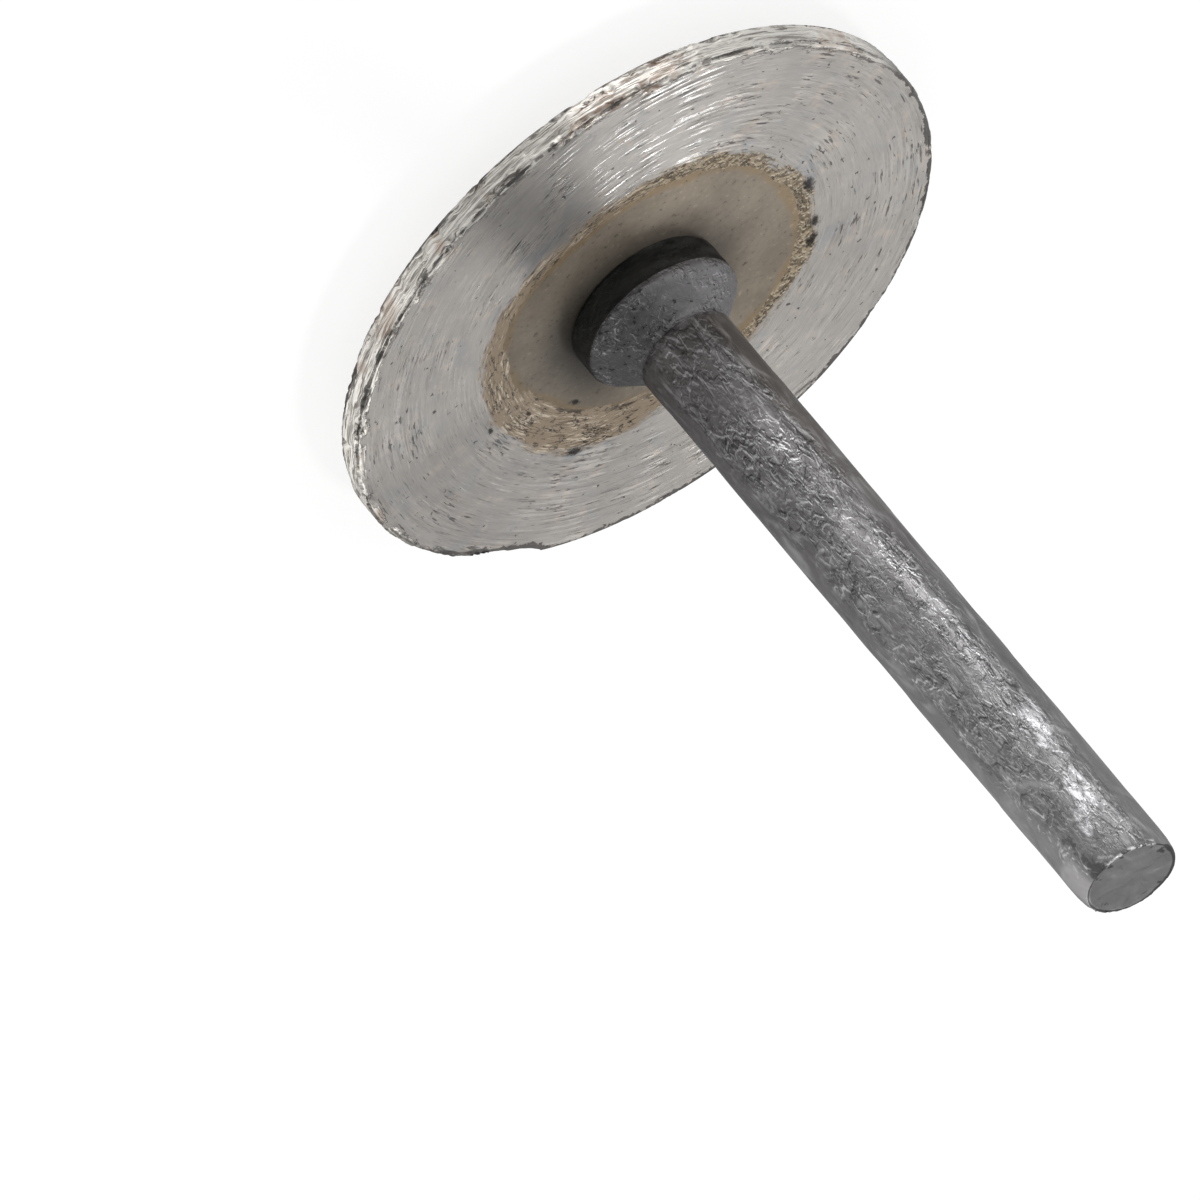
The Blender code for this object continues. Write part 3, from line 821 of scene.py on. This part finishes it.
def disc_finish():
    """Ground silver, tan round the pressed hub, whitish on the torn rim and dark where it is chipped."""
    steel = Finish("ground_steel", Anisotropic=0.75, Anisotropic_Rotation=0.25, Specular_IOR_Level=0.25)
    head_side = steel.mask(steel.z, DISC_MIDDLE / MM + 0.05, DISC_MIDDLE / MM - 0.05)
    ground, ground_height, polish = ground_face(steel, head_side)
    belt, belt_height = tan_belt(steel, head_side)
    hub, hub_height = hub_floor(steel, head_side)
    wall, wall_height = rim_wall(steel)
    wobble = steel.grain(steel.ring_place(3.0, 2.5, 20.0), 1.0, 4.0, 0.7) - 0.5
    soft = 0.14 + head_side * 0.16
    off_belt = steel.mask(steel.noted("past_tan_edge") + wobble * (1.4 + head_side), soft * -1.0, soft)
    off_hub = steel.mask(steel.noted("past_floor_edge") + wobble * 0.9, -0.06, 0.06)
    torn = steel.grain(steel.ring_place(11.0, 3.0, 50.0), 1.0, 4.0, 0.7)
    toward_torn = steel.facing_x * TORN_SIDE[0] + steel.facing_y * TORN_SIDE[1]
    band = (0.08 + steel.mask(torn, 0.40, 0.70) * 0.32) * steel.mask(toward_torn, -0.5, 0.2)
    on_wall = steel.mask(steel.noted("from_rim") - band, 0.03, 0.0)
    colour = steel.blend(off_hub, hub, belt)
    colour = steel.blend(off_belt, colour, ground)
    colour = steel.blend(on_wall, colour, wall)
    height = steel.level(off_hub, hub_height, belt_height)
    height = steel.level(off_belt, height, ground_height)
    height = steel.level(on_wall, height, wall_height)

    # Dark rim marks: dirt, chips, and painted shade along the far edge
    dirt_and_shade = rim_dirt_and_shade(steel, band, torn, toward_torn, head_side)
    marked = belt_marks(steel) * (1 - head_side)
    colour = steel.blend(dirt_and_shade, colour, tone(54, 51, 50))
    colour = steel.blend(marked * 0.92, colour, tone(26, 24, 23))
    dirt_and_shade = steel.largest(dirt_and_shade, marked)
    roughness = steel.level(off_belt, 0.62, 0.54 - polish * 0.28)
    metallic = steel.largest(steel.level(off_belt, 0.25, 0.80), dirt_and_shade * 0.9)
    return steel.end(colour, roughness, metallic, height - dirt_and_shade, GRAIN_DEPTH)


def worn_and_highlight_places(skin):
    """Where the shank is rubbed bright, partly worn metal and partly painted highlight, each place ragged
    and drawn out along it.
    """
    ragged = skin.grain(skin.long_place(0.6), 1.6, 4.0, 0.7) - 0.5
    shares = []
    for height, angle, reach in WORN_AND_HIGHLIGHT_PLACES:
        turn = math.radians(angle)
        x = SHANK_RADIUS / MM * math.cos(turn)
        y = SHANK_RADIUS / MM * math.sin(turn)
        aside = skin.vector(skin.x - x, skin.y - y, (skin.z - height) * 0.4)
        apart = skin.length(aside) + ragged * reach * 3.2
        shares.append(skin.mask(apart, reach * 1.2, reach * 0.7))
    return skin.largest(*shares)


def shank_scales(skin, wrinkled, seamed, bright):
    """Seams, flakes, flecks and rolls along the shank: the flakes, their painted highlights and shade, and
    what is raised.
    """
    seams, seam_edge = skin.steps(skin.long_place(0.28), (0.045, 0, 0), 0.46, 0.54, 1.5, 4.0, 0.62, 0.4)
    flakes, flake_edge = skin.steps(skin.long_place(0.5), (0.04, 0, 0.03), 0.46, 0.54, 2.6, 3.0, 0.55, 0.6)
    flecks, fleck_edge = skin.steps(skin.long_place(0.6), (0.026, 0, 0.02), 0.45, 0.56, 5.2, 2.0, 0.6, 0.5)
    rolls, roll_edge = skin.steps(skin.long_place(0.4), (0.10, 0, 0.04), 0.42, 0.62, 1.1, 3.0, 0.5, 0.5)
    border = skin.toward(-52, 16, 8) * skin.mask(skin.z, 12.0, 15.0)
    # Painted highlight on one edge of each scale and painted shade on the other, as if lit from one side
    light = skin.largest(
        seam_edge * 0.32 * seamed,
        flake_edge * (0.56 + bright * 0.25) * wrinkled,
        fleck_edge * (0.30 + bright * 0.60) * skin.largest(wrinkled, bright * 0.8),
        flake_edge * border * 0.7,
        roll_edge * 0.34,
    )
    shade = skin.largest(
        seam_edge * -0.45 * seamed,
        flake_edge * -0.80 * wrinkled,
        fleck_edge * -0.5 * wrinkled,
        roll_edge * -0.34,
    )
    raised = seams * 0.8 * seamed + flakes * 1.4 * wrinkled + flecks * 0.8 * wrinkled + rolls * 0.7
    return flakes, light, shade, raised


def shank_skin(skin):
    """The shank's skin, drawn out along it and thick in places, with painted highlights and shade. Colour,
    height and roughness.
    """
    patches = skin.grain(skin.long_place(0.28), 0.9, 2.0)
    clouds = skin.grain(skin.long_place(0.4), 2.2, 4.0, 0.65)
    dense = skin.mask(skin.grain(skin.long_place(0.45), 0.8, 2.0), 0.40, 0.56)
    clusters = skin.mask(skin.grain(skin.long_place(0.5), 1.0, 3.0, 0.6), 0.48, 0.58)
    blotches = skin.mask(skin.grain(skin.long_place(0.5), 1.7, 3.0, 0.6), 0.49, 0.57)
    toward_end = skin.mask(skin.z, 2.0, 30.0)
    tip = skin.mask(skin.z + patches * 3.0, 24.2, 26.6)
    foot = skin.mask(skin.z, 9.0, 4.5)
    busy = (0.35 + dense * 0.65) * (1 - tip * 0.3)
    in_front = skin.mask(abs(skin.facing_y) + patches * 0.5, 0.80, 1.04)
    wrinkled = (0.14 + in_front * 0.86) * busy * (1 - foot * 0.35)
    seamed = skin.mask(abs(skin.facing_y) + clouds * 0.5, 0.70, 0.96) * (1 - tip * 0.4)
    # The band along the shank where the lamp's highlight runs
    highlight_strip = skin.mask(abs(skin.facing_x + 0.38), 0.42, 0.10) * skin.mask(skin.facing_y, 0.3, -0.3)
    # Rubbed places: worn bright metal, partly painted highlights
    rubbed = worn_and_highlight_places(skin)
    # Painted highlight: bright flecks clustered in that band, and the rubbed places
    bright = skin.largest(clusters * highlight_strip * 0.45, rubbed)
    flakes, light, shade, raised = shank_scales(skin, wrinkled, seamed, bright)

    # Darker towards the collar: partly the skin's own tone, partly painted shade from the disc
    colour = skin.blend(toward_end, tone(94, 92, 92), tone(118, 117, 118))
    brown = skin.mask(skin.facing_x, -0.50, -0.80) * skin.mask(skin.z, 18.0, 5.0)
    colour = skin.blend(brown * 0.6, colour, tone(98, 92, 86))
    # Painted highlight on the rubbed places, painted shade along the highlight band, lighter near the foot,
    # and painted light towards -28 degrees nearer the end
    gain = rubbed * (0.16 + toward_end * 0.22) - highlight_strip * 0.14 + foot * 0.20
    gain = gain + skin.toward(-28, 34, 16) * toward_end * 0.42
    colour = skin.lit(colour, 0.46 + patches * 0.45 + clouds * 0.60 + gain)
    plates = flakes * (1 - blotches * 0.6) * wrinkled
    colour = skin.blend(plates * 0.40, colour, tone(62, 61, 62))
    # Bare metal near the end, partly a painted highlight
    bare_and_highlight = rubbed * skin.mask(skin.z, 20.0, 24.0) * skin.mask(clouds, 0.40, 0.56)
    colour = skin.blend(bare_and_highlight * 0.65, colour, tone(214, 213, 216))
    # Painted highlights and painted shade along the scales' edges
    colour = skin.blend(light, colour, tone(214, 213, 215))
    colour = skin.blend(shade, colour, tone(38, 37, 38))
    roughness = skin.level(toward_end, 0.52, 0.46) + (patches - 0.5) * 0.3 + (blotches - 0.5) * -0.08
    return colour, raised + clouds, roughness


def collar_skin(skin):
    """The collar's skin: dark, finely crinkled and pitted, painted light on one side, painted highlights
    and shade on its crinkles. Colour and height.
    """
    patches = skin.grain(skin.place, 0.9, 2.0)
    pitted = skin.grain(skin.place, 4.2, 3.0, 0.65)
    crinkles, crinkle_edge = skin.steps(skin.place, (0.03, 0, 0.02), 0.44, 0.58, 3.6, 4.0, 0.65, 0.5)
    # Painted light: the collar lighter towards -X and towards 225 degrees
    painted_light_side = skin.mask(skin.facing_x, 0.4, -0.7) + skin.toward(225, 50, 20) * 0.25
    colour = skin.lit(tone(84, 83, 84), 0.36 + pitted * 0.75 + patches * 0.4 + painted_light_side)
    crinkled = 0.25 + skin.mask(patches, 0.40, 0.58) * 0.75
    toward_edge = skin.mask(skin.radius, 1.7, 2.5)
    # Painted highlight on one edge of each crinkle, and painted shade on the other beside the dark pits
    light = skin.largest(crinkle_edge * (0.42 + toward_edge * 0.2) * crinkled, 0.0)
    colour = skin.blend(light, colour, tone(186, 184, 186))
    pits = skin.mask(pitted, 0.38, 0.31)
    shade = skin.largest(crinkle_edge * -0.6 * crinkled, pits * 0.7)
    colour = skin.blend(shade, colour, tone(30, 29, 29))
    return colour, crinkles * 1.2 * crinkled - pits * 1.3 + pitted


def worn_tip(skin, colour, end_face, ragged):
    """The end's edge: dark, bright on one side with chips and painted highlight, painted light on a worn
    flat on another, painted shade at its crease. Colour, and what is dark.
    """
    from_edge = skin.noted("from_end_edge")
    specks = skin.grain(skin.place, 3.0, 3.0, 0.6)
    # Painted light on a worn flat near the end, towards 330 degrees
    rubbed = skin.toward(330, 24, 12) * skin.mask(skin.z + ragged, 26.6, 27.2) * (1 - end_face)
    colour = skin.blend(rubbed * 0.65, colour, tone(176, 174, 175))
    # Chips and a painted highlight along the edge towards 250 degrees
    chipped = skin.toward(250, 40, 28) * skin.mask(from_edge, 0.26, 0.14) * skin.mask(specks, 0.44, 0.50)
    colour = skin.blend(chipped * (1 - end_face) * 0.85, colour, tone(226, 225, 226))
    lip_width = 0.03 + (ragged - 0.5) * 0.16 + skin.toward(142, 62, 34) * 0.07
    lip = skin.mask(from_edge - lip_width, 0.04, 0.0)
    corner_marks = skin.mask(specks, 0.60, 0.66) * skin.mask(from_edge, 0.5, 0.2)
    # Painted shade: a dark wedge beside the worn flat's crease
    uneven = (ragged - 0.5) * 0.10 + (skin.z - SHANK_TOP / MM) * 0.012
    painted_crease_shade = skin.toward(297, 13, 9, uneven) * skin.mask(skin.z + ragged, 25.2, 26.8) * (1 - end_face)
    return colour, skin.largest(lip * (1 - chipped), corner_marks * end_face, painted_crease_shade * 0.75)


def mandrel_finish():
    """Dark mill scale: drawn out along the shank, crinkled on the collar, black on the flange's side."""
    skin = Finish("mill_scale", Specular_Tint=(0.5, 0.5, 0.5, 1))
    colour, height, roughness = shank_skin(skin)
    collar, collar_height = collar_skin(skin)
    ragged = skin.grain(skin.place, 1.6, 4.0, 0.6)
    on_collar = skin.mask(skin.z + (ragged - 0.5) * 1.2, 4.45, 3.95)
    colour = skin.blend(on_collar, colour, collar)
    height = skin.level(on_collar, height, collar_height)

    clouds = skin.grain(skin.ring_place(2.5, 3.0), 1.0, 4.0, 0.6)
    side = skin.mask(skin.noted("on_flange_side") + (ragged - 0.5) * 1.1, 0.30, 0.70)
    # Painted light: the flange's dark side lighter towards 215 degrees, in cloudy patches
    painted_top_light = skin.toward(215, 50, 15) * skin.mask(clouds, 0.35, 0.6)
    colour = skin.blend(side, colour, skin.lit(tone(27, 27, 26), clouds * 2.8 - 0.4 + painted_top_light * 1.4))
    end_face = skin.noted("on_end_face")
    mottle = skin.grain(skin.place, 1.3, 4.0, 0.6)
    colour = skin.blend(end_face, colour, skin.lit(tone(106, 105, 106), 0.62 + mottle * 0.7))
    height = skin.level(end_face, height, mottle)
    colour, tip_dark = worn_tip(skin, colour, end_face, ragged)
    # Dark lip and marks at the end, and painted shade at the worn flat's crease
    colour = skin.blend(tip_dark * 0.8, colour, tone(46, 45, 45))
    roughness = skin.level(side, roughness, 0.6)
    roughness = skin.level(end_face, roughness, 0.5)
    return skin.end(colour, roughness, skin.level(side, 0.8, 0.2), height, GRAIN_DEPTH)


def head_finish():
    """Pressed steel: light burrs here and there on the ridges, sparkle in the pits, painted shade on the
    side wall under the disc.
    """
    steel = Finish("pressed_steel")
    grit = steel.grain(steel.place, 5.0, 4.0, 0.7)
    patches = steel.grain(steel.place, 1.6, 3.0, 0.6)
    colour = steel.blend(steel.mask(patches, 0.3, 0.7), tone(92, 92, 94), tone(128, 128, 130))
    crest = steel.mask(steel.z + (grit - 0.5) * 0.10, 0.07, 0.02) * steel.mask(patches, 0.38, 0.60)
    sparkle = steel.mask(grit, 0.58, 0.70) * steel.mask(steel.z, 0.30, 0.36)
    colour = steel.blend(steel.largest(crest * 0.50, sparkle * 0.8), colour, tone(226, 226, 228))
    colour = steel.blend(steel.mask(grit, 0.38, 0.30) * 0.6, colour, tone(52, 52, 54))
    # Painted shade on the head's side wall, where it meets the disc
    shaded_side_wall = steel.mask(steel.z, 0.40, 0.60)
    colour = steel.blend(shaded_side_wall * 0.85, colour, tone(52, 50, 50))
    return steel.end(colour, 0.36, 0.8, grit, GRAIN_DEPTH / 2)


def make_floor():
    """A plain white floor. It is clear from below, and lets the lamps under it through."""
    bpy.ops.object.select_all(action="DESELECT")
    bpy.ops.mesh.primitive_plane_add(size=4.0, location=(0, 0, 0))
    floor = bpy.context.object
    floor.name = "floor"
    paper = Finish("white_paper")
    rays = ("Is Camera Ray", "Is Glossy Ray", "Is Transmission Ray")
    seen = paper.largest(*(paper.add("ShaderNodeLightPath", output=ray) for ray in rays))
    from_below = paper.add("ShaderNodeNewGeometry", output="Backfacing")
    clear = paper.largest(from_below, paper.add("ShaderNodeLightPath", output="Is Shadow Ray"))
    matt = paper.add("ShaderNodeBsdfDiffuse", inputs={"Color": (0.93, 0.93, 0.93, 1)})
    white = paper.add("ShaderNodeEmission", inputs={"Color": (1, 1, 1, 1), "Strength": 1.08})
    surface = paper.add("ShaderNodeMixShader", inputs={0: seen * 0.7, 1: matt, 2: white})
    glass = paper.add("ShaderNodeBsdfTransparent")
    surface = paper.add("ShaderNodeMixShader", inputs={0: clear, 1: surface, 2: glass})
    paper.feed(paper.tree.nodes["Material Output"].inputs["Surface"], surface)
    floor.data.materials.append(paper.material)


def make_world():
    """White all round, and greyer overhead, so that ground steel has something to reflect."""
    world = bpy.data.worlds.new("studio")
    bpy.context.scene.world = world
    world.use_nodes = True
    sky = Nodes(world.node_tree)
    height = sky.part_of(sky.add("ShaderNodeTexCoord", output="Generated"), "Z")
    levels = {"Value": height, "From Min": 0.70, "From Max": 0.90, "To Min": 1.0, "To Max": 0.5}
    strength = sky.add("ShaderNodeMapRange", {"interpolation_type": "SMOOTHSTEP"}, levels)
    background = sky.tree.nodes["Background"]
    sky.feed(background.inputs["Color"], (1, 1, 1, 1))
    sky.feed(background.inputs["Strength"], strength)


def add_lamp(name, azimuth, elevation, size, level):
    """A square soft light. On white that faces it, it adds level to the picture."""
    data = bpy.data.lights.new(name, "AREA")
    data.shape = "SQUARE"
    data.size = size
    data.energy = level * (math.pi * LAMP_DISTANCE) ** 2
    lamp = bpy.data.objects.new(name, data)
    bpy.context.scene.collection.objects.link(lamp)
    flat = math.cos(math.radians(elevation))
    turn = math.radians(azimuth)
    towards = Vector((flat * math.cos(turn), flat * math.sin(turn), math.sin(math.radians(elevation))))
    lamp.location = towards * LAMP_DISTANCE
    lamp.rotation_euler = towards.to_track_quat("Z", "Y").to_euler()


def make_camera():
    """A long lens on the -Y side, rolled so that the shank points down and to the right."""
    data = bpy.data.cameras.new("camera")
    data.lens = CAMERA_LENS
    data.clip_end = 10
    camera = bpy.data.objects.new("camera", data)
    bpy.context.scene.collection.objects.link(camera)
    tilt = Matrix.Rotation(math.radians(90 - CAMERA_ELEVATION), 4, "X")
    roll = Matrix.Rotation(math.radians(CAMERA_ROLL), 4, "Z")
    back_off = Matrix.Translation((0, 0, CAMERA_DISTANCE))
    camera.matrix_world = Matrix.Translation(CAMERA_AIM) @ tilt @ roll @ back_off
    bpy.context.scene.camera = camera


def main():
    noise.seed_set(NOISE_SEED)
    make_disc()
    make_shank()
    make_head()
    make_floor()
    make_world()
    add_lamp("behind", azimuth=99, elevation=51, size=0.10, level=0.22)
    add_lamp("under_front", azimuth=-133, elevation=-30, size=0.22, level=0.60)
    add_lamp("under", azimuth=115, elevation=-55, size=0.25, level=0.60)
    make_camera()
    bpy.context.scene.view_settings.view_transform = "Standard"


main()
